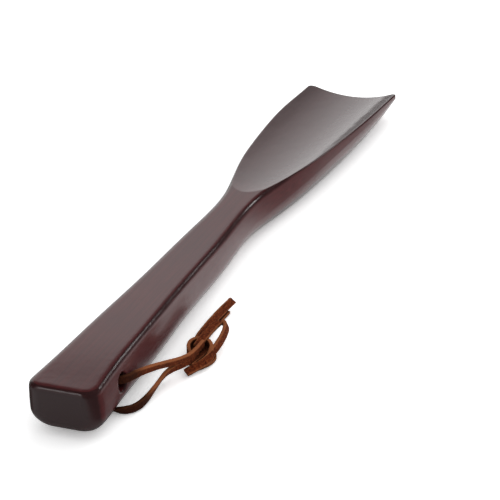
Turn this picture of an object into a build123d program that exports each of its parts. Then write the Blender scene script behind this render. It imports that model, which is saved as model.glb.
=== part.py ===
from build123d import *
import math
import os

# A wooden shoehorn lying scoop up, with a suede lace through a cross bore near its butt.
# X runs from the butt (-X) to the lip (+X), Y across, Z up from the surface it lies on. Millimetres.

# Lengths along the shoehorn, measured from the butt face
overall_length = 252.0
waist_at = 131.0
scoop_start = 139.5
bore_at = 20.0

# Widths and heights
butt_width = 24.6
waist_width = 13.0
blade_width = 36.8
butt_top = 18.1
waist_top = 16.5
underside_clearance = 2.0
waist_clearance = 2.3
lip_underside = 4.1

# Roundings
butt_end_radius = 5.0
top_edge_radius = 2.0
side_crown_radius = 65.0
handle_corner_height = 5.5
butt_corner_height = 8.0
lip_bow = 0.8
lip_corner_radius = 3.2
rim_radius = 0.5
lip_side_height = 0.8
bore_mouth_radius = 0.8

# The scoop is a round trough that enters the flat top and runs down to the lip
scoop_radius = 44.0
scoop_entry_slope = 0.19
scoop_lip_slope = 0.085
lip_trough_height = 6.1

# Cross bore and lace
bore_radius = 2.9
bore_height = 10.9
lace_width = 3.0
lace_thickness = 1.5
lace_lift = 0.1
lace_side_gap = 0.35
strand_diameter = 2.2
lace_in_bore = 8.0
lace_past_underside = 12.5
wrap_top_bend = 1.5
wrap_foot_bend = 4.0
knot_at = 55.5
knot_side = -21.0
knot_length = 10.6
knot_width = 8.0
knot_height = 7.2
knot_edge_radius = 1.6

handle_length = waist_at
blade_length = overall_length - waist_at
butt_x = -overall_length / 2

# The form of the handle, from the butt to near the waist. Place is a share of the handle's length.
# Width and top are shares of the growth from waist to butt, underside of the change from butt to waist.
# Corner width is a share of the half width, corner growth a share of what the corners gain at the butt.
# Each row: place, width, top, underside, corner width, corner growth
handle_form = (
    (0.00, 1.000, 1.00, 0.0, 0.80, 1.0),
    (0.10, 0.824, 1.03, 0.0, 0.62, 0.1),
    (0.25, 0.622, 1.00, 0.0, 0.54, 0.0),
    (0.45, 0.426, 0.66, 0.1, 0.57, 0.0),
    (0.70, 0.241, 0.22, 0.5, 0.63, 0.0),
    (0.88, 0.095, 0.02, 0.9, 0.68, 0.0),
)
# The form of the blade, from the waist to near the lip. Place is a share of the blade's length.
# Width is a share of the growth from waist to full blade, underside a share of its height at the waist.
# Each row: place, width, underside, corner width and height as shares of the half width
blade_form = (
    (0.00, 0.000, 1.00, 0.74, 0.90),
    (0.08, 0.050, 0.80, 0.68, 0.86),
    (0.16, 0.197, 0.50, 0.62, 0.80),
    (0.26, 0.424, 0.24, 0.60, 0.74),
    (0.40, 0.668, 0.05, 0.60, 0.68),
    (0.58, 0.871, 0.00, 0.60, 0.62),
    (0.80, 0.987, 0.22, 0.72, 0.50),
)
# At the lip the underside has risen and its corners have opened into one shallow curve.
# Each row: place, width, underside as a share of its height at the lip, corner width as before
lip_form = (
    (1.00, 0.992, 1.00, 0.92),
    (1.05, 0.992, 1.22, 0.94),
)


def sagitta(radius, half_chord):
    return radius - math.sqrt(radius**2 - half_chord**2)


def station(along):
    return Plane(origin=(butt_x + along, 0, 0), x_dir=(0, 1, 0), z_dir=(1, 0, 0))


# A section is flat on top. Its sides lean out in a shallow crown down to the shoulder, then turn under.
def section(along, top_half, top, bottom, corner_y, corner_z):
    shoulder = bottom + corner_z
    half = top_half + sagitta(side_crown_radius, top - shoulder)
    flat = half - corner_y
    outline = [
        Line((-top_half, top), (top_half, top)),
        TangentArc((half, shoulder), (top_half, top), tangent=(0, 1)),
        EllipticalCenterArc((flat, shoulder), corner_y, corner_z, start_angle=270, arc_size=90),
        Line((flat, bottom), (-flat, bottom)),
        EllipticalCenterArc((-flat, shoulder), corner_y, corner_z, start_angle=180, arc_size=90),
        TangentArc((-half, shoulder), (-top_half, top), tangent=(0, 1)),
    ]
    return station(along) * make_face(outline)


def top_half_at(width, end_width):
    return (waist_width + width * (end_width - waist_width)) / 2


def lip_shoulder(half):
    return lip_trough_height + sagitta(scoop_radius, half) - lip_side_height


def blank_sections():
    sections = []
    for share, width, top, bottom, corner_y, growth in handle_form:
        half = top_half_at(width, butt_width)
        along = share * handle_length
        height = waist_top + top * (butt_top - waist_top)
        base = underside_clearance + bottom * (waist_clearance - underside_clearance)
        corner_z = handle_corner_height + growth * (butt_corner_height - handle_corner_height)
        sections.append(section(along, half, height, base, corner_y * half, corner_z))
    for share, width, bottom, corner_y, corner_z in blade_form:
        half = top_half_at(width, blade_width)
        along = waist_at + share * blade_length
        base = bottom * waist_clearance
        sections.append(section(along, half, waist_top, base, corner_y * half, corner_z * half))
    for share, width, bottom, corner_y in lip_form:
        half = top_half_at(width, blade_width)
        along = waist_at + share * blade_length
        base = bottom * lip_underside
        sections.append(section(along, half, waist_top, base, corner_y * half, lip_shoulder(half) - base))
    return sections


def scoop_cutter():
    lead = 10.0
    tail = 12.0
    headroom = 16.0
    start = Vector(butt_x + scoop_start - lead, 0, waist_top + lead * scoop_entry_slope)
    finish = Vector(butt_x + overall_length + tail, 0, lip_trough_height - tail * scoop_lip_slope)
    reach_in = 0.12 * blade_length
    reach_out = 0.62 * blade_length
    spine = Bezier(
        start,
        start + Vector(reach_in, 0, -reach_in * scoop_entry_slope),
        finish + Vector(-reach_out, 0, reach_out * scoop_lip_slope),
        finish,
    )
    across = Plane(origin=spine @ 0, x_dir=(0, 1, 0), z_dir=spine % 0)
    half_chord = blade_width * 0.62
    depth = sagitta(scoop_radius, half_chord)
    roof = depth + headroom
    profile = make_face(
        [
            ThreePointArc((-half_chord, depth), (0, 0), (half_chord, depth)),
            Line((half_chord, depth), (half_chord, roof)),
            Line((half_chord, roof), (-half_chord, roof)),
            Line((-half_chord, roof), (-half_chord, depth)),
        ]
    )
    return sweep(across * profile, path=spine)


def half_width_at(body, along):
    slice_box = Pos(butt_x + along, 0, 0) * Box(0.01, 4 * blade_width, 4 * butt_top)
    return (body & slice_box).bounding_box().size.Y / 2


def round_butt(body):
    end_face = body.faces().sort_by(Axis.X)[0]
    end_edges = [e for e in end_face.edges() if e.bounding_box().min.Z < butt_top - top_edge_radius]
    body = fillet(end_edges, butt_end_radius)
    side_top = waist_top - butt_end_radius / 8
    rim = [e for e in body.edges() if e.bounding_box().min.Z > side_top and e.bounding_box().min.X < 0]
    return fillet(rim, top_edge_radius)


def shape_lip(body):
    lip_x = butt_x + overall_length
    half_lip = half_width_at(body, overall_length - lip_corner_radius)
    bow_radius = (half_lip**2 + lip_bow**2) / (2 * lip_bow)
    bow_centre = lip_x - bow_radius
    lip_plan = Pos(bow_centre, 0) * Circle(bow_radius)
    lip_plan &= Pos(lip_x, 0) * Rectangle(blade_length, 2 * half_lip)
    corners = lip_plan.vertices().sort_by(Axis.X)[-2:]
    lip_plan = fillet(corners, lip_corner_radius)
    inner_bow = bow_radius - lip_corner_radius
    corner_start = lip_x - lip_corner_radius - sagitta(inner_bow, half_lip - lip_corner_radius)
    past_lip = Pos(corner_start + blade_width, 0) * Rectangle(2 * blade_width, 4 * blade_width)
    return body - extrude(past_lip - lip_plan, amount=2 * butt_top)


def shoehorn_body():
    body = shape_lip(round_butt(loft(blank_sections())))
    body -= scoop_cutter()
    rims = [e for e in body.edges() if e.length > 0.1 * overall_length]
    rims = [e for e in rims if e.bounding_box().min.X > butt_x + scoop_start]
    body = fillet(rims, rim_radius)
    body = Pos(0, 0, -body.bounding_box().min.Z) * body
    body -= Pos(butt_x + bore_at, 0, bore_height) * Rot(90, 0, 0) * Cylinder(bore_radius, 2 * butt_width)
    rings = [e for e in body.edges() if e.length > 5 * bore_radius]
    mouths = [e for e in rings if abs(e.bounding_box().size.X - 2 * bore_radius) < bore_mouth_radius]
    return fillet(mouths, bore_mouth_radius)


# The lace. Its flat middle lies through the bore, down the far side and under the handle.
def thong_wrap(body):
    half = lace_thickness / 2
    side = half_width_at(body, bore_at - lace_width / 2) + lace_side_gap + half
    under = lace_lift + half
    route = FilletPolyline(
        (-lace_in_bore, bore_height),
        (side, bore_height),
        (side, under),
        (-lace_past_underside, under),
        radius=[wrap_top_bend, wrap_foot_bend],
    )
    strap = extrude(trace(route, lace_thickness), amount=lace_width)
    return station(bore_at - lace_width / 2) * strap


def knot_block():
    middle = Pos(butt_x + knot_at, knot_side, lace_lift + knot_height / 2)
    return middle * Box(knot_length, knot_width, knot_height)


def thong_knot():
    return fillet(knot_block().edges(), knot_edge_radius)


# A strand is a tube along straight runs joined by arcs, each as large as its two runs allow
def strand(name, points, cutters=()):
    places = [Vector(butt_x + along, side, height) for along, side, height in points]
    runs = [b - a for a, b in zip(places, places[1:])]
    radii = []
    for before, after in zip(runs, runs[1:]):
        half_turn = math.radians(before.get_angle(after)) / 2
        radii.append(0.45 * min(before.length, after.length) / math.tan(half_turn))
    path = FilletPolyline(*places, radius=radii) if radii else Line(*places)
    tube = sweep(Plane(origin=places[0], z_dir=runs[0]) * Circle(strand_diameter / 2), path=path)
    expected = math.pi * strand_diameter**2 / 4 * path.length
    shown = [round(radius, 1) for radius in radii]
    print(name, "radii", shown, "length", round(path.length, 1), "filled", round(tube.volume / expected, 6))
    for cutter in cutters:
        tube -= cutter
    return tube


def thong_strands():
    lace_height = lace_lift + strand_diameter / 2
    knot = knot_block()
    near_end = knot_at - knot_length / 2 + 1
    far_end = knot_at + knot_length / 2 - 1
    upper = (
        (bore_at, -lace_in_bore, bore_height),
        (bore_at, -13.2, bore_height),
        (26.0, -14.3, 10.0),
        (32.4, -15.0, 8.8),
        (39.6, -17.6, 7.4),
        (near_end, -20.8, 5.8),
    )
    lower = (
        (bore_at, -lace_past_underside, lace_height),
        (bore_at, -15.6, lace_height),
        (25.0, -16.8, 1.6),
        (32.5, -16.2, 2.4),
        (41.5, -17.4, 3.2),
        (near_end, -20.2, 2.6),
    )
    bow = (
        (far_end, -20.8, 5.4),
        (64.8, -20.9, 5.8),
        (69.2, -20.6, 5.7),
        (72.0, -22.1, 5.4),
        (71.9, -24.6, 5.0),
        (69.3, -26.1, 4.7),
        (64.8, -26.0, 4.2),
        (far_end, -24.2, 3.4),
    )
    long_tail = (
        (far_end, -19.2, 2.0),
        (68.0, -16.8, 2.4),
        (78.5, -16.4, 3.2),
        (89.0, -17.8, 3.2),
    )
    short_tail = (
        (near_end, -23.4, lace_height),
        (45.4, -20.6, lace_height),
    )
    return {
        "thong_upper_strand": strand("upper", upper, [knot]),
        "thong_lower_strand": strand("lower", lower, [knot]),
        "thong_bow": strand("bow", bow, [knot]),
        "thong_long_tail": strand("long tail", long_tail, [knot]),
        "thong_short_tail": strand("short tail", short_tail, [knot]),
    }


os.makedirs("parts", exist_ok=True)
shoehorn = shoehorn_body()
pieces = {"shoehorn_body": shoehorn, "thong_wrap": thong_wrap(shoehorn), "thong_knot": thong_knot()}
pieces.update(thong_strands())
for node, piece in pieces.items():
    export_step(piece, f"parts/{node}.step")
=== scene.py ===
import bmesh
import bpy
import math
from mathutils import Matrix, Vector, noise


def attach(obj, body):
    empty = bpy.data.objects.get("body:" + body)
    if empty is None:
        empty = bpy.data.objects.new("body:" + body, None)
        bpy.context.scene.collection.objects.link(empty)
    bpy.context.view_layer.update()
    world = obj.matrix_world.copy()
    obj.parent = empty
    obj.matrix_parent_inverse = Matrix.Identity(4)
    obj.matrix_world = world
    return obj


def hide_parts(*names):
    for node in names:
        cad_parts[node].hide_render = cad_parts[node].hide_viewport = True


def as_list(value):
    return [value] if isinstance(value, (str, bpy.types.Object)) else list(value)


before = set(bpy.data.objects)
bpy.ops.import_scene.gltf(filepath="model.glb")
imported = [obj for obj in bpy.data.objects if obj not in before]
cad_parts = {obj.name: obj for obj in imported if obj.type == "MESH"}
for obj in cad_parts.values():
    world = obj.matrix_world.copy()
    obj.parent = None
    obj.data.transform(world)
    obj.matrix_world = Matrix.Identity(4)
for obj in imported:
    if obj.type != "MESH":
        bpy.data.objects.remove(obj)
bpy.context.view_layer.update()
print("frame loaded:", ", ".join(sorted(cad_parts)))


# Small helpers. Lengths are in metres throughout
def hexToLinear(hexColour):
    channels = [int(hexColour[i:i + 2], 16) / 255 for i in (1, 3, 5)]
    linear = [c / 12.92 if c <= 0.04045 else ((c + 0.055) / 1.055) ** 2.4 for c in channels]
    return (*linear, 1.0)


def addNode(tree, kind, settings=(), **inputs):
    # inputs are named by the socket, or in0, in1 and so on, and take a value, a node or a socket
    node = tree.nodes.new(kind)
    for name, value in dict(settings).items():
        setattr(node, name, value)
    for name, source in inputs.items():
        byNumber = name.startswith("in") and name[2:].isdigit()
        socket = node.inputs[int(name[2:]) if byNumber else name.replace("_", " ")]
        if isinstance(source, bpy.types.Node):
            source = source.outputs[0]
        if isinstance(source, bpy.types.NodeSocket):
            tree.links.new(source, socket)
        else:
            socket.default_value = source
    return node


def newMaterial(name):
    material = bpy.data.materials.new(name)
    material.use_nodes = True
    material.node_tree.nodes.clear()
    return material, material.node_tree


def setStops(ramp, places, colours):
    stops = ramp.color_ramp.elements
    while len(stops) < len(places):
        stops.new(places[-1])
    for stop, place, colour in zip(stops, places, colours):
        stop.position = place
        stop.color = hexToLinear(colour)


def fromTo(start, end, startValue=0.0, endValue=1.0):
    return {"From_Min": start, "From_Max": end, "To_Min": startValue, "To_Max": endValue}


softStep = {"interpolation_type": "SMOOTHSTEP"}
add, subtract, multiply = ({"operation": name} for name in ("ADD", "SUBTRACT", "MULTIPLY"))
absolute, larger, turnOf = ({"operation": name} for name in ("ABSOLUTE", "MAXIMUM", "ARCTAN2"))
mixNumbers, mixColours = ({"data_type": name} for name in ("FLOAT", "RGBA"))
fewRays = {"samples": 8}   # enough for soft shading inside folds and over edges


# Camera: three quarter view along the handle from above the butt
cameraSetup = {
    "aim": (0.0044, -0.0062, 0.0),   # where the middle of the view meets the floor
    "distance": 0.7637,
    "heading": 25.49,                # degrees from +X towards +Y
    "down": 27.78,                   # degrees below level
    "roll": -4.66,
    "lens": 154.85,                  # millimetres, as is the sensor
    "sensor": 36,
    "clip": (0.05, 50),
}


def makeCamera(setup):
    heading, down, roll = (math.radians(setup[k]) for k in ("heading", "down", "roll"))
    level = Vector((math.cos(heading), math.sin(heading), 0))
    ahead = level * math.cos(down) - Vector((0, 0, math.sin(down)))
    flatRight = Vector((math.sin(heading), -math.cos(heading), 0))
    flatUp = flatRight.cross(ahead)
    right = flatRight * math.cos(roll) + flatUp * math.sin(roll)
    up = flatUp * math.cos(roll) - flatRight * math.sin(roll)
    data = bpy.data.cameras.new("viewCamera")
    data.lens = setup["lens"]
    data.sensor_width = setup["sensor"]
    data.clip_start, data.clip_end = setup["clip"]
    camera = bpy.data.objects.new("viewCamera", data)
    bpy.context.scene.collection.objects.link(camera)
    axes = Matrix((right, up, -ahead)).transposed().to_4x4()
    camera.matrix_world = Matrix.Translation(Vector(setup["aim"]) - ahead * setup["distance"]) @ axes
    bpy.context.scene.camera = camera


makeCamera(cameraSetup)
print("camera placed")


# Suede lace: one flat strip, cut square, drawn as straps that follow smooth lines
laceStrip = {
    "width": 0.0027,
    "thickness": 0.00125,
    "cornerRadius": 0.00028,
    "cornerSteps": 3,             # facets round each corner of the section
    "ringSpacing": 0.00022,
    "leastSteps": 6,              # rings between two points of a route
    "raggedness": 0.00005,        # how far the nap stands in and out of the surface
    "napPerMetre": (4200, 1300),  # fine tufts and broader lumps
    "waver": 0.05,                # share by which the cut width changes along the strip
    "waversPerMetre": 260,
    "strapShift": 7.1,            # keeps the straps from wavering alike
    "edgeBand": 0.00035,          # how far in from the cut edge its paler fibres start
    "edgeFade": 0.0003,
    "creaseAngle": 55,
    "railReach": 0.001,           # from the middle line to the line that the broad face looks at
    "lineOrder": 3,               # how softly the line follows its route
}


def splineLine(points, perSpan):
    curve = bpy.data.curves.new("route", "CURVE")
    curve.dimensions = "3D"
    curve.resolution_u = perSpan
    spline = curve.splines.new("NURBS")
    spline.points.add(len(points) - 1)
    for point, place in zip(spline.points, points):
        point.co = (*place, 1)
    spline.order_u = laceStrip["lineOrder"]
    spline.use_endpoint_u = True
    holder = bpy.data.objects.new("route", curve)
    mesh = bpy.data.meshes.new_from_object(holder)
    line = [v.co.copy() for v in mesh.vertices]
    bpy.data.objects.remove(holder)
    bpy.data.curves.remove(curve)
    bpy.data.meshes.remove(mesh)
    return line


def lineLength(line):
    return sum((b - a).length for a, b in zip(line, line[1:]))


def stripSection(width, thickness, radius):
    # rounded rectangle, anticlockwise, as (across, out of the face)
    section = []
    for signW, signT, start in ((1, -1, -90), (1, 1, 0), (-1, 1, 90), (-1, -1, 180)):
        for step in range(laceStrip["cornerSteps"] + 1):
            angle = math.radians(start + 90 / laceStrip["cornerSteps"] * step)
            section.append((
                signW * (width / 2 - radius) + radius * math.cos(angle),
                signT * (thickness / 2 - radius) + radius * math.sin(angle),
            ))
    dense = []
    for (w0, t0), (w1, t1) in zip(section, section[1:] + section[:1]):
        pieces = max(1, round(math.hypot(w1 - w0, t1 - t0) / laceStrip["ringSpacing"]))
        dense += [(w0 + (w1 - w0) * k / pieces, t0 + (t1 - t0) * k / pieces) for k in range(pieces)]
    return dense


def ringSpots(section, centre, tangent, face, stretch, lean, seed):
    # one ring of the strap, with the nap's lumps and how far each spot is into the cut edge
    width, thickness = laceStrip["width"], laceStrip["thickness"]
    fine, broad = laceStrip["napPerMetre"]
    across = tangent.cross(face)
    for w, t in section:
        spot = centre + across * w * stretch + face * t + tangent * w * lean
        nap = noise.noise(spot * fine + Vector((seed, 0, 0))) * laceStrip["raggedness"]
        nap += noise.noise(spot * broad) * laceStrip["raggedness"]
        outward = (across * w / width + face * t / thickness).normalized()
        intoEdge = (abs(w) - width / 2 + laceStrip["edgeBand"]) / laceStrip["edgeFade"]
        yield spot + outward * nap, min(1, max(0, intoEdge))


def strapMesh(name, route, endSlant=0, seed=0):
    # route: rows of place and broad face direction; endSlant: how far the last cut leans across the strip
    places = [Vector(place) for place, face in route]
    faces = [Vector(face).normalized() for place, face in route]
    width = laceStrip["width"]
    perSpan = round(lineLength(places) / (len(places) - 2) / laceStrip["ringSpacing"])
    perSpan = max(laceStrip["leastSteps"], perSpan)
    line = splineLine(places, perSpan)
    rail = splineLine([p + f * laceStrip["railReach"] for p, f in zip(places, faces)], perSpan)
    section = stripSection(width, laceStrip["thickness"], laceStrip["cornerRadius"])
    run = [0.0]
    for a, b in zip(line, line[1:]):
        run.append(run[-1] + (b - a).length)
    mesh = bmesh.new()
    cutEdge = mesh.verts.layers.float.new("cutEdge")
    rings = []
    for i, centre in enumerate(line):
        tangent = (line[min(i + 1, len(line) - 1)] - line[max(i - 1, 0)]).normalized()
        face = rail[i] - centre
        face = (face - tangent * face.dot(tangent)).normalized()
        place = Vector((run[i] * laceStrip["waversPerMetre"], seed * laceStrip["strapShift"], 0))
        stretch = 1 + laceStrip["waver"] * noise.noise(place)
        lean = endSlant * max(0, 1 - (run[-1] - run[i]) / width)
        ring = []
        for spot, intoEdge in ringSpots(section, centre, tangent, face, stretch, lean, seed):
            ring.append(mesh.verts.new(spot))
            ring[-1][cutEdge] = intoEdge
        rings.append(ring)
    count = len(section)
    for a, b in zip(rings, rings[1:]):
        for k in range(count):
            mesh.faces.new((a[k], b[k], b[(k + 1) % count], a[(k + 1) % count]))
    for ring, turn in ((rings[0], 1), (rings[-1], -1)):
        middle = mesh.verts.new(sum((v.co for v in ring), Vector()) / count)
        middle[cutEdge] = 1
        for k in range(count):
            corner = (ring[k], ring[(k + 1) % count], middle)
            mesh.faces.new(corner[::turn])
    bmesh.ops.recalc_face_normals(mesh, faces=mesh.faces)
    data = bpy.data.meshes.new(name)
    mesh.to_mesh(data)
    mesh.free()
    data.shade_smooth()
    data.set_sharp_from_angle(angle=math.radians(laceStrip["creaseAngle"]))
    strap = bpy.data.objects.new(name, data)
    bpy.context.scene.collection.objects.link(strap)
    return strap, line


up, down = (0, 0, 1), (0, 0, -1)

# The loop: out of the knot, along the upper strand on its edge, through the bore, down the far side,
# back flat under the handle and on its edge again along the lower strand to the knot
loopRoute = (
    ((-0.0690, -0.0217, 0.0058), (-0.1, -1, -0.1)),
    ((-0.0735, -0.0216, 0.0058), (-0.2, -1, -0.2)),
    ((-0.0785, -0.0211, 0.0060), (-0.3, -0.9, -0.3)),
    ((-0.0830, -0.0190, 0.0066), (-0.4, -0.8, -0.4)),
    ((-0.0878, -0.0160, 0.0076), (-0.4, -0.8, -0.45)),
    ((-0.0935, -0.0138, 0.0089), (-0.35, -0.85, -0.35)),
    ((-0.0990, -0.0125, 0.0101), (-0.3, -0.9, -0.1)),
    ((-0.1035, -0.0118, 0.0110), (-0.5, -0.85, 0)),
    ((-0.1057, -0.0098, 0.0113), (-0.9, -0.4, 0)),
    ((-0.1060, -0.0060, 0.0112), (-1, 0, 0)),
    ((-0.1060, 0.0000, 0.0109), (-0.7, 0, 0.7)),
    ((-0.1060, 0.0075, 0.0109), up),
    ((-0.1060, 0.0147, 0.0111), (0, 0.6, 0.8)),
    ((-0.1060, 0.0137, 0.0050), (0, 1, 0)),
    ((-0.1060, 0.0110, 0.0008), (0, 0.7, -0.7)),
    ((-0.1060, 0.0020, 0.0008), down),
    ((-0.1070, -0.0058, 0.0009), (-0.1, 0, -1)),
    ((-0.1079, -0.0096, 0.0015), (-0.8, -0.1, -0.5)),
    ((-0.1069, -0.0129, 0.0017), (-0.8, -0.6, 0)),
    ((-0.1042, -0.0150, 0.0018), (-0.6, -0.8, 0)),
    ((-0.1003, -0.0157, 0.0020), (-0.2, -1, -0.1)),
    ((-0.0955, -0.0158, 0.0024), (0, -0.9, -0.35)),
    ((-0.0905, -0.0157, 0.0028), (0, -0.85, -0.5)),
    ((-0.0862, -0.0158, 0.0033), (-0.1, -0.85, -0.45)),
    ((-0.0832, -0.0174, 0.0039), (-0.4, -0.8, -0.3)),
    ((-0.0803, -0.0198, 0.0043), (-0.5, -0.85, -0.1)),
    ((-0.0768, -0.0211, 0.0044), (-0.3, -1, 0)),
    ((-0.0730, -0.0214, 0.0042), (-0.1, -1, 0)),
)
bowRoute = (
    ((-0.0705, -0.0201, 0.0050), (-0.1, -0.6, 0.8)),
    ((-0.0680, -0.0204, 0.0058), (0, -0.2, 1)),
    ((-0.0640, -0.0206, 0.0060), (0, -0.1, 1)),
    ((-0.0595, -0.0208, 0.0061), (0, -0.1, 1)),
    ((-0.0562, -0.0211, 0.0061), (0.4, -0.1, 0.9)),
    ((-0.0545, -0.0224, 0.0058), (0.9, -0.2, 0.4)),
    ((-0.0557, -0.0242, 0.0055), (0.7, -0.7, 0.3)),
    ((-0.0592, -0.0252, 0.0052), (0.3, -0.85, 0.3)),
    ((-0.0640, -0.0258, 0.0048), (0.1, -0.85, 0.3)),
    ((-0.0685, -0.0258, 0.0043), (0, -0.9, 0.25)),
    ((-0.0710, -0.0253, 0.0036), (-0.2, -1, 0.1)),
)
tailRoute = (
    ((-0.0680, -0.0182, 0.0028), (0, -0.7, 0.7)),
    ((-0.0628, -0.0166, 0.0030), (0, -0.75, 0.65)),
    ((-0.0555, -0.0165, 0.0032), (0, -0.8, 0.6)),
    ((-0.0485, -0.0167, 0.0033), (0, -0.8, 0.6)),
    ((-0.0423, -0.0171, 0.0034), (0, -0.8, 0.6)),
    ((-0.0367, -0.0177, 0.0035), (0, -0.8, 0.6)),
)
tailSlant = 0.3   # how far the cut end of the long tail leans across the strip

# The knot: one turn that stands on its edge round the strands, one that lies curled inside it, one flat
# under it, the short end that runs out of the first, and the second long end, under the long tail
knotRoutes = {
    "laceKnot": (
        ((-0.0750, -0.0208, 0.0022), (-0.6, 0.6, 0.6)),
        ((-0.0725, -0.0184, 0.0029), (-0.7, 0.7, 0.2)),
        ((-0.0710, -0.0171, 0.0039), (-0.6, 0.8, 0)),
        ((-0.0684, -0.0163, 0.0043), (-0.1, 1, 0.2)),
        ((-0.0658, -0.0173, 0.0044), (0.6, 0.8, 0.2)),
        ((-0.0654, -0.0199, 0.0044), (1, 0.1, 0.1)),
        ((-0.0661, -0.0226, 0.0044), (1, -0.5, 0)),
        ((-0.0685, -0.0246, 0.0043), (0.5, -1, 0)),
        ((-0.0708, -0.0256, 0.0038), (0.1, -1, 0.1)),
    ),
    "laceKnotCore": (
        ((-0.0778, -0.0206, 0.0028), up),
        ((-0.0750, -0.0214, 0.0029), up),
        ((-0.0715, -0.0221, 0.0029), up),
        ((-0.0674, -0.0221, 0.0029), up),
        ((-0.0651, -0.0196, 0.0028), up),
        ((-0.0662, -0.0172, 0.0028), up),
        ((-0.0700, -0.0174, 0.0030), up),
    ),
    "laceUnderTurn": (
        ((-0.0765, -0.0220, 0.0008), up),
        ((-0.0735, -0.0243, 0.0008), up),
        ((-0.0695, -0.0250, 0.0008), up),
        ((-0.0655, -0.0228, 0.0009), up),
        ((-0.0640, -0.0190, 0.0010), up),
    ),
    "laceShortTail": (
        ((-0.0688, -0.0247, 0.0042), (0.3, -1, 0.2)),
        ((-0.0715, -0.0257, 0.0035), (-0.1, -0.9, 0.4)),
        ((-0.0748, -0.0248, 0.0028), (-0.3, -0.7, 0.7)),
        ((-0.0775, -0.0230, 0.0021), (-0.3, -0.5, 0.8)),
        ((-0.0809, -0.0207, 0.0014), (-0.3, -0.35, 0.9)),
    ),
    "laceSecondTail": (
        ((-0.0680, -0.0180, 0.0010), up),
        ((-0.0600, -0.0166, 0.0009), up),
        ((-0.0500, -0.0165, 0.0009), up),
        ((-0.0401, -0.0168, 0.0010), (0.1, -0.2, 1)),
    ),
}

loop, loopLine = strapMesh("laceLoop", loopRoute, seed=1)
bow, bowLine = strapMesh("laceBow", bowRoute, seed=2)
longTail, tailLine = strapMesh("laceLongTail", tailRoute, endSlant=tailSlant, seed=3)
knotParts = {}
for seed, (name, route) in enumerate(knotRoutes.items(), start=4):
    knotParts[name] = strapMesh(name, route, seed=seed)[0]
print("lace and knot made")

for piece, nodes in (
    (loop, ("thong_upper_strand", "thong_wrap", "thong_lower_strand")),
    (bow, ("thong_bow",)),
    (longTail, ("thong_long_tail",)),
    (knotParts["laceKnot"], ("thong_knot",)),
    (knotParts["laceShortTail"], ("thong_short_tail",)),
    (knotParts["laceKnotCore"], ()),
    (knotParts["laceUnderTurn"], ()),
    (knotParts["laceSecondTail"], ()),
):
    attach(piece, "root")
    if nodes:
        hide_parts(*nodes)

for piece, line, farEnd, extras in (
    (loop, loopLine, "knot", list(knotParts.values())),
    (bow, bowLine, "object", []),
    (longTail, tailLine, "bare", []),
):
    tuple(line[0])
    round(lineLength(line), 4)
    [tuple(p) for p in line]
    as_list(extras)
    print(piece.name, "is", round(lineLength(line) * 1000, 1), "mm long")


# Brown suede: split leather with a brushed nap, so it looks dry and velvety, mottled where the nap lies
# both ways, and a little paler along the cut edges where the fibres stand open
suedeLook = {
    # painted shade colour, laid into creases and on the lace near the butt
    "foldShadeColour": "#240d05",
    "nap": ("#321007", "#57230f", "#7d3f20"),   # lying down, between, and brushed up
    "napStops": (0.4, 0.5, 0.62),
    "cutEdge": "#a26541",
    "cutEdgeShare": 0.55,
    "patchSize": 0.0006,                 # 0.6 mm, the patches that lie one way
    "patchNoise": {"Detail": 4, "Roughness": 0.6},
    "napSize": 0.00022,                  # 0.22 mm, tufts a little coarser than real ones, so that they show
    "napNoise": {"Detail": 3, "Roughness": 0.7},
    "napShare": 0.45,
    "napDepth": 0.0001,
    "napStrength": 0.5,
    "roughness": 0.92,
    "ior": 1.5,
    "specular": 0.1,
    "sheen": 0.1,
    "sheenRoughness": 0.5,
    "sheenTint": "#b07a58",
    "foldReach": 0.003,                  # painted shade: how deep a crease has to be before it darkens
    "foldOpenness": (0.85, 0.25),
    "foldShade": 0.8,
    "nearButtShadeFrom": (-0.0945, -0.1005),   # painted shade on the lace near the butt, where it runs through and under the handle
    "nearButtShadeDepth": 0.85,
}


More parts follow.
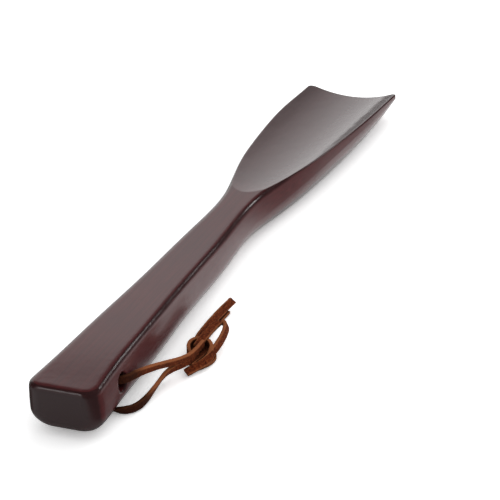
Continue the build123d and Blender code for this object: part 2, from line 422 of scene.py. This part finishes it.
def makeSuede(look):
    material, tree = newMaterial("brushedBrownSuede")
    place = addNode(tree, "ShaderNodeTexCoord").outputs["Object"]
    patches = addNode(tree, "ShaderNodeTexNoise", Vector=place, Scale=1 / look["patchSize"],
                      **look["patchNoise"])
    tufts = addNode(tree, "ShaderNodeTexNoise", Vector=place, Scale=1 / look["napSize"], **look["napNoise"])
    nap = addNode(tree, "ShaderNodeMix", mixNumbers, Factor=look["napShare"], A=patches, B=tufts)
    ramp = addNode(tree, "ShaderNodeValToRGB", Fac=nap)
    setStops(ramp, look["napStops"], look["nap"])
    edge = addNode(tree, "ShaderNodeAttribute", {"attribute_name": "cutEdge"}).outputs["Fac"]
    edge = addNode(tree, "ShaderNodeMath", multiply, in0=edge, in1=look["cutEdgeShare"])
    colour = addNode(tree, "ShaderNodeMix", mixColours, Factor=edge, A=ramp, B=hexToLinear(look["cutEdge"]))
    # painted shade: creases that ambient occlusion finds are darkened
    openness = addNode(tree, "ShaderNodeAmbientOcclusion", fewRays, Distance=look["foldReach"])
    folded = addNode(tree, "ShaderNodeMapRange", Value=openness.outputs["AO"],
                     **fromTo(*look["foldOpenness"], 0.0, look["foldShade"]))
    along = addNode(tree, "ShaderNodeSeparateXYZ", in0=place)
    # painted shade: the lace darkens towards the butt, where it runs through and under the handle
    nearButtShade = addNode(tree, "ShaderNodeMapRange", Value=along,
                      **fromTo(*look["nearButtShadeFrom"], 0.0, look["nearButtShadeDepth"]))
    for share in (folded, nearButtShade):
        colour = addNode(tree, "ShaderNodeMix", mixColours, Factor=share, A=colour.outputs["Result"],
                         B=hexToLinear(look["foldShadeColour"]))
    bump = addNode(tree, "ShaderNodeBump", Strength=look["napStrength"], Distance=look["napDepth"],
                   Height=nap)
    shader = addNode(
        tree, "ShaderNodeBsdfPrincipled",
        Base_Color=colour.outputs["Result"], Roughness=look["roughness"], IOR=look["ior"],
        Specular_IOR_Level=look["specular"], Sheen_Weight=look["sheen"],
        Sheen_Roughness=look["sheenRoughness"], Sheen_Tint=hexToLinear(look["sheenTint"]), Normal=bump,
    )
    addNode(tree, "ShaderNodeOutputMaterial", Surface=shader)
    return material


suede = makeSuede(suedeLook)
for piece in (loop, bow, longTail, *knotParts.values()):
    piece.data.materials.append(suede)
print("suede made")


# Stained mahogany under sprayed tinted lacquer: deep red-brown, glossy in broad soft reflections, with
# faint grain along the length; painted shade darkens the rounded edges and the scoop, and the end grain
# is darker, partly as it drinks more stain and partly as painted shade
lacquerLook = {
    "stain": ("#431418", "#4c1719", "#551b1d"),
    "stainStops": (0.3, 0.5, 0.7),
    "grainWidth": 0.0007,            # 0.7 mm streaks, 45 mm long
    "grainLength": 0.045,
    "grainNoise": {"Detail": 3, "Roughness": 0.55},
    "cloudSize": 0.025,              # broad patches where the stain took unevenly
    "cloudNoise": {"Detail": 2},
    "cloudShare": 0.35,
    "poreWidth": 0.00035,            # 0.35 mm, a little wider than real pores, so that they show
    "poreLength": 0.006,
    "poreNoise": {"Detail": 1},
    "poreFrom": (0.62, 0.72),        # where in the noise a pore starts and is full
    "poreShade": 0.5,
    # painted shade colour for the scoop where it faces up
    "hollowShadeColour": "#301115",
    "hollowFrom": (0.012, 0.03),     # along the wood, from where the scoop starts
    "hollowFacing": (0.5, 0.8),      # how far it has to face up
    "hollowShade": 0.6,
    # end faces: darker partly as end grain drinks more stain, partly as painted shade
    "endGrainAndShade": "#231012",
    "endFacing": (0.8, 0.97),
    "endShade": 0.9,
    # painted shade colour for the rounded edges
    "edgeShadeColour": "#260a0c",
    "edgeFacing": (0.985, 0.86),     # how far a rounding has turned from its flat
    "edgeShade": 0.85,
    "softEdge": (0.002, 0.0005),     # how far in an edge is sanded soft, on the handle and on the thin blade
    "softEdgeFrom": (0.0, 0.03),     # along the wood, where the one becomes the other
    "rippleSize": 0.00238,           # 2.4 mm orange peel of the sprayed coat
    "rippleNoise": {"Detail": 1},
    "rippleDepth": 0.0002,
    "rippleStrength": 0.12,
    "topRoughness": 0.1,             # the top is polished after spraying, the sides are not
    "sideRoughness": 0.24,
    "topFacing": (0.1, 0.35),
    "stainRoughness": 0.55,
    "stainSpecular": 0.2,
    "ior": 1.5,
}


def makeLacquer(look):
    material, tree = newMaterial("lacqueredMahogany")
    place = addNode(tree, "ShaderNodeTexCoord").outputs["Object"]
    grainScale = (1 / look["grainLength"], 1 / look["grainWidth"], 1 / look["grainWidth"])
    grainPlace = addNode(tree, "ShaderNodeMapping", Vector=place, Scale=grainScale)
    grain = addNode(tree, "ShaderNodeTexNoise", Vector=grainPlace, Scale=1.0, **look["grainNoise"])
    cloud = addNode(tree, "ShaderNodeTexNoise", Vector=place, Scale=1 / look["cloudSize"],
                    **look["cloudNoise"])
    tone = addNode(tree, "ShaderNodeMix", mixNumbers, Factor=look["cloudShare"], A=grain, B=cloud)
    ramp = addNode(tree, "ShaderNodeValToRGB", Fac=tone)
    setStops(ramp, look["stainStops"], look["stain"])
    poreScale = (1 / look["poreLength"], 1 / look["poreWidth"], 1 / look["poreWidth"])
    porePlace = addNode(tree, "ShaderNodeMapping", Vector=place, Scale=poreScale)
    pore = addNode(tree, "ShaderNodeTexNoise", Vector=porePlace, Scale=1.0, **look["poreNoise"])
    pored = addNode(tree, "ShaderNodeMapRange", Value=pore,
                    **fromTo(*look["poreFrom"], 0.0, look["poreShade"]))

    # which way the surface faces, and how far along the wood it is
    normal = addNode(tree, "ShaderNodeNewGeometry").outputs["Normal"]
    upward = addNode(tree, "ShaderNodeSeparateXYZ", in0=normal).outputs[2]
    unsigned = addNode(tree, "ShaderNodeVectorMath", absolute, in0=normal)
    endways, sideways, flatways = addNode(tree, "ShaderNodeSeparateXYZ", in0=unsigned).outputs
    squarest = addNode(tree, "ShaderNodeMath", larger, in0=endways, in1=sideways)
    squarest = addNode(tree, "ShaderNodeMath", larger, in0=squarest, in1=flatways)
    along = addNode(tree, "ShaderNodeSeparateXYZ", in0=place)

    # painted shade: the rounded edges darken the further they turn from the flat
    rounded = addNode(tree, "ShaderNodeMapRange", softStep, Value=squarest,
                      **fromTo(*look["edgeFacing"], 0.0, look["edgeShade"]))
    # painted shade: the scoop darkens where it faces up
    scooped = addNode(tree, "ShaderNodeMapRange", softStep, Value=along,
                      **fromTo(*look["hollowFrom"], 0.0, look["hollowShade"]))
    facingUp = addNode(tree, "ShaderNodeMapRange", softStep, Value=upward,
                       **fromTo(*look["hollowFacing"]))
    scooped = addNode(tree, "ShaderNodeMath", multiply, in0=scooped, in1=facingUp)
    # end faces darker: partly end grain taking more stain, partly painted shade
    ended = addNode(tree, "ShaderNodeMapRange", softStep, Value=endways,
                    **fromTo(*look["endFacing"], 0.0, look["endShade"]))
    colour = ramp.outputs["Color"]
    for share, tint in (
        (pored, look["stain"][0]),
        (scooped, look["hollowShadeColour"]),
        (ended, look["endGrainAndShade"]),
        (rounded, look["edgeShadeColour"]),
    ):
        colour = addNode(tree, "ShaderNodeMix", mixColours, Factor=share, A=colour, B=hexToLinear(tint))
        colour = colour.outputs["Result"]

    ripple = addNode(tree, "ShaderNodeTexNoise", Vector=place, Scale=1 / look["rippleSize"],
                     **look["rippleNoise"])
    reach = addNode(tree, "ShaderNodeMapRange", Value=along,
                    **fromTo(*look["softEdgeFrom"], *look["softEdge"]))
    sanded = addNode(tree, "ShaderNodeBevel", fewRays, Radius=reach)
    bump = addNode(tree, "ShaderNodeBump", Strength=look["rippleStrength"], Distance=look["rippleDepth"],
                   Height=ripple, Normal=sanded)
    gloss = addNode(tree, "ShaderNodeMapRange", softStep, Value=flatways,
                    **fromTo(*look["topFacing"], look["sideRoughness"], look["topRoughness"]))
    shader = addNode(
        tree, "ShaderNodeBsdfPrincipled",
        Base_Color=colour, Roughness=look["stainRoughness"], IOR=look["ior"],
        Specular_IOR_Level=look["stainSpecular"], Coat_Weight=1.0, Coat_IOR=look["ior"],
        Coat_Roughness=gloss, Coat_Normal=bump,
    )
    addNode(tree, "ShaderNodeOutputMaterial", Surface=shader)
    return material


lacquer = makeLacquer(lacquerLook)
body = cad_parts["shoehorn_body"]
body.data.materials.clear()
body.data.materials.append(lacquer)
print("lacquer made")


# Studio: white paper under a soft sky and one soft lamp from behind. In the lacquer it shows as a pale
# backdrop that ends above, a dark room beyond it, two small windows and a dim wall in front of the butt.
# The paper that the lacquer shows is a painted reflection, brighter close beside the wood, dimmer away.
# Heights in the sky are sines, turns are degrees from +X, and four numbers are where a pane starts, is
# full, is still full and ends
studio = {
    "floorSize": 12.0,
    "floorColour": "#f9f9f9",
    "floorGain": 0.25,               # what the eye adds to white paper, by its light and evenly
    "floorLift": 0.25,
    "woodHalfWidth": ((-0.126, 0.0123), (0.0, 0.0065)),   # place along it and half width, butt and neck
    "bladeFlare": ((0.012, 0.0), (0.085, 0.012)),         # what the blade adds to that
    # painted reflection: how bright the paper shows in the lacquer, by its place beside the wood
    "paperReach": (0.002, 0.016),    # from the wood, where the paper in the gloss starts to change
    "paperNear": ((-0.11, 0.4), (-0.08, 1.35)),           # place along the wood and share of the light
    "paperFar": ((-0.09, 0.06), (-0.045, 0.95), (0.0, 0.95), (0.045, 0.25)),
    "paperFrontGloss": 0.45,
    "frontFrom": (-0.127, -0.131),   # before the butt
    "frontRight": (-0.0135, -0.0115),
    "skyEven": 0.85,
    "skyAhead": 0.1,                 # added towards +X
    "skyRight": 0.3,                 # added towards -Y
    "roomGloss": 0.014,
    "backdropLow": 1.2,              # brightness at the floor
    "backdropHigh": 0.38,            # brightness straight up, if it reached so far
    "backdropTop": (0.60, 0.485),    # heights between which it fades in, downwards
    "backdropLeft": (70, 60),
    "backdropRight": (-15, 21),
    "windowGloss": 6.0,
    "windowHeight": (0.36, 0.40, 0.50, 0.54),
    "windowSpan": (-38, -35, -28, -24),
    "frontWindowGloss": 5.0,
    "frontWindowHeight": (0.54, 0.58, 0.64, 0.68),
    "frontWindowSpan": (132, 137, 160, 166),
    "frontWallGloss": 0.45,
    "frontWallHeight": (-0.10, -0.05, 0.48, 0.56),
    "frontWallSpan": (120, 128, 170, 177),
    "keyPlace": (0.85, -0.2, 0.65),
    "keySize": (0.8, 0.6),
    "keyStrength": 3.0,
}


def paneShare(tree, source, bounds):
    # rises over the first two bounds and falls over the last two
    low, lowFull, highFull, high = bounds
    rise = addNode(tree, "ShaderNodeMapRange", softStep, Value=source, **fromTo(low, lowFull))
    fall = addNode(tree, "ShaderNodeMapRange", softStep, Value=source, **fromTo(high, highFull))
    return addNode(tree, "ShaderNodeMath", multiply, in0=rise, in1=fall)


def paintedPaperReflection(tree, setup):
    # painted reflection: share of the paper's light that the lacquer shows, by its place beside and before
    # the wood
    place = addNode(tree, "ShaderNodeNewGeometry").outputs["Position"]
    along, across = addNode(tree, "ShaderNodeSeparateXYZ", in0=place).outputs[:2]
    (butt, buttHalf), (neck, neckHalf) = setup["woodHalfWidth"]
    halfWidth = addNode(tree, "ShaderNodeMapRange", softStep, Value=along,
                        **fromTo(butt, neck, buttHalf, neckHalf))
    (throat, throatMore), (blade, bladeMore) = setup["bladeFlare"]
    flare = addNode(tree, "ShaderNodeMapRange", softStep, Value=along,
                    **fromTo(throat, blade, throatMore, bladeMore))
    halfWidth = addNode(tree, "ShaderNodeMath", add, in0=halfWidth, in1=flare)
    aside = addNode(tree, "ShaderNodeMath", absolute, in0=across)
    away = addNode(tree, "ShaderNodeMath", subtract, in0=aside, in1=halfWidth)
    (butt, buttShare), (neck, neckShare) = setup["paperNear"]
    near = addNode(tree, "ShaderNodeMapRange", softStep, Value=along,
                   **fromTo(butt, neck, buttShare, neckShare))
    (butt, buttShare), (neck, neckShare), (throat, throatShare), (blade, bladeShare) = setup["paperFar"]
    far = addNode(tree, "ShaderNodeMapRange", softStep, Value=along,
                  **fromTo(butt, neck, buttShare, neckShare))
    fading = addNode(tree, "ShaderNodeMapRange", softStep, Value=along,
                     **fromTo(throat, blade, 1.0, bladeShare / throatShare))
    far = addNode(tree, "ShaderNodeMath", multiply, in0=far, in1=fading)
    reach = addNode(tree, "ShaderNodeMapRange", softStep, Value=away, **fromTo(*setup["paperReach"]))
    share = addNode(tree, "ShaderNodeMix", mixNumbers, Factor=reach, A=near, B=far)
    before = addNode(tree, "ShaderNodeMapRange", softStep, Value=along, **fromTo(*setup["frontFrom"]))
    right = addNode(tree, "ShaderNodeMapRange", softStep, Value=across, **fromTo(*setup["frontRight"]))
    before = addNode(tree, "ShaderNodeMath", multiply, in0=before, in1=right)
    return addNode(tree, "ShaderNodeMix", mixNumbers, Factor=before, A=share, B=setup["paperFrontGloss"])


def makeFloor(setup):
    data = bpy.data.meshes.new("studioFloor")
    half = setup["floorSize"] / 2
    corners = [(-half, -half, 0), (half, -half, 0), (half, half, 0), (-half, half, 0)]
    data.from_pydata(corners, [], [(0, 1, 2, 3)])
    floor = bpy.data.objects.new("studioFloor", data)
    bpy.context.scene.collection.objects.link(floor)
    material, tree = newMaterial("mattWhitePaper")   # no shine of its own, so the shadow lies soft and even
    rays = addNode(tree, "ShaderNodeLightPath")
    paper = addNode(tree, "ShaderNodeBsdfDiffuse", Color=hexToLinear(setup["floorColour"]))
    gain = addNode(tree, "ShaderNodeBsdfDiffuse", Color=(*[setup["floorGain"]] * 3, 1))
    lift = addNode(tree, "ShaderNodeEmission", Strength=setup["floorLift"])
    seen = addNode(tree, "ShaderNodeAddShader", in0=paper, in1=gain)
    seen = addNode(tree, "ShaderNodeAddShader", in0=seen, in1=lift)
    plain = addNode(tree, "ShaderNodeMixShader", in0=rays.outputs["Is Camera Ray"], in1=paper, in2=seen)
    # glossy rays see the paper toned by its place: a painted reflection in the lacquer
    toned = addNode(tree, "ShaderNodeVectorMath", {"operation": "SCALE"},
                    in0=hexToLinear(setup["floorColour"])[:3], Scale=paintedPaperReflection(tree, setup))
    inGloss = addNode(tree, "ShaderNodeBsdfDiffuse", Color=toned)
    mixed = addNode(tree, "ShaderNodeMixShader", in0=rays.outputs["Is Glossy Ray"], in1=plain, in2=inGloss)
    addNode(tree, "ShaderNodeOutputMaterial", Surface=mixed)
    data.materials.append(material)


def roomInGloss(tree, setup, axes):
    # brightness of the room that the lacquer shows: backdrop, windows and front wall over a dim rest
    ahead, left, height = axes
    turn = addNode(tree, "ShaderNodeMath", turnOf, in0=left, in1=ahead)
    turn = addNode(tree, "ShaderNodeMath", multiply, in0=turn, in1=180 / math.pi)
    share = addNode(tree, "ShaderNodeMapRange", softStep, Value=height, **fromTo(*setup["backdropTop"]))
    for side in ("backdropLeft", "backdropRight"):
        reach = addNode(tree, "ShaderNodeMapRange", softStep, Value=turn, **fromTo(*setup[side]))
        share = addNode(tree, "ShaderNodeMath", multiply, in0=share, in1=reach)
    dimming = setup["backdropHigh"] - setup["backdropLow"]
    level = addNode(tree, "ShaderNodeMath", multiply, in0=height, in1=dimming)
    level = addNode(tree, "ShaderNodeMath", add, in0=level, in1=setup["backdropLow"])
    backdrop = addNode(tree, "ShaderNodeMath", multiply, in0=share, in1=level)
    glow = addNode(tree, "ShaderNodeMath", add, in0=backdrop, in1=setup["roomGloss"])
    for pane in ("window", "frontWindow", "frontWall"):
        tall = paneShare(tree, height, setup[pane + "Height"])
        wide = paneShare(tree, turn, setup[pane + "Span"])
        bright = addNode(tree, "ShaderNodeMath", multiply, in0=tall, in1=wide)
        bright = addNode(tree, "ShaderNodeMath", multiply, in0=bright, in1=setup[pane + "Gloss"])
        glow = addNode(tree, "ShaderNodeMath", add, in0=glow, in1=bright)
    return glow


def makeWorld(setup):
    world = bpy.data.worlds.new("softStudio")
    bpy.context.scene.world = world
    world.use_nodes = True
    tree = world.node_tree
    tree.nodes.clear()
    rays = addNode(tree, "ShaderNodeLightPath")
    toward = addNode(tree, "ShaderNodeTexCoord").outputs["Generated"]
    axes = addNode(tree, "ShaderNodeSeparateXYZ", in0=toward).outputs
    ahead = addNode(tree, "ShaderNodeMath", multiply, in0=axes[0], in1=setup["skyAhead"])
    right = addNode(tree, "ShaderNodeMath", multiply, in0=axes[1], in1=-setup["skyRight"])
    level = addNode(tree, "ShaderNodeMath", add, in0=ahead, in1=setup["skyEven"])
    level = addNode(tree, "ShaderNodeMath", add, in0=level, in1=right)
    white = (1, 1, 1, 1)
    fill = addNode(tree, "ShaderNodeBackground", Color=white, Strength=level)
    paper = addNode(tree, "ShaderNodeBackground", Color=white, Strength=1.0)
    room = addNode(tree, "ShaderNodeBackground", Color=white, Strength=roomInGloss(tree, setup, axes))
    shown = addNode(tree, "ShaderNodeMixShader", in0=rays.outputs["Is Camera Ray"], in1=fill, in2=paper)
    mixed = addNode(tree, "ShaderNodeMixShader", in0=rays.outputs["Is Glossy Ray"], in1=shown, in2=room)
    addNode(tree, "ShaderNodeOutputWorld", Surface=mixed)


def makeKeySoftbox(setup):
    data = bpy.data.lights.new("keySoftbox", "AREA")
    data.shape = "RECTANGLE"
    data.size, data.size_y = setup["keySize"]
    data.energy = setup["keyStrength"]
    lamp = bpy.data.objects.new("keySoftbox", data)
    bpy.context.scene.collection.objects.link(lamp)
    lamp.location = setup["keyPlace"]
    lamp.rotation_mode = "QUATERNION"
    lamp.rotation_quaternion = (-Vector(setup["keyPlace"])).to_track_quat("-Z", "Y")   # aimed at the origin
    lamp.visible_glossy = False    # the lacquer shows the windows and backdrop instead


makeFloor(studio)
makeWorld(studio)
makeKeySoftbox(studio)
bpy.context.scene.view_settings.view_transform = "Standard"
print("studio lit")
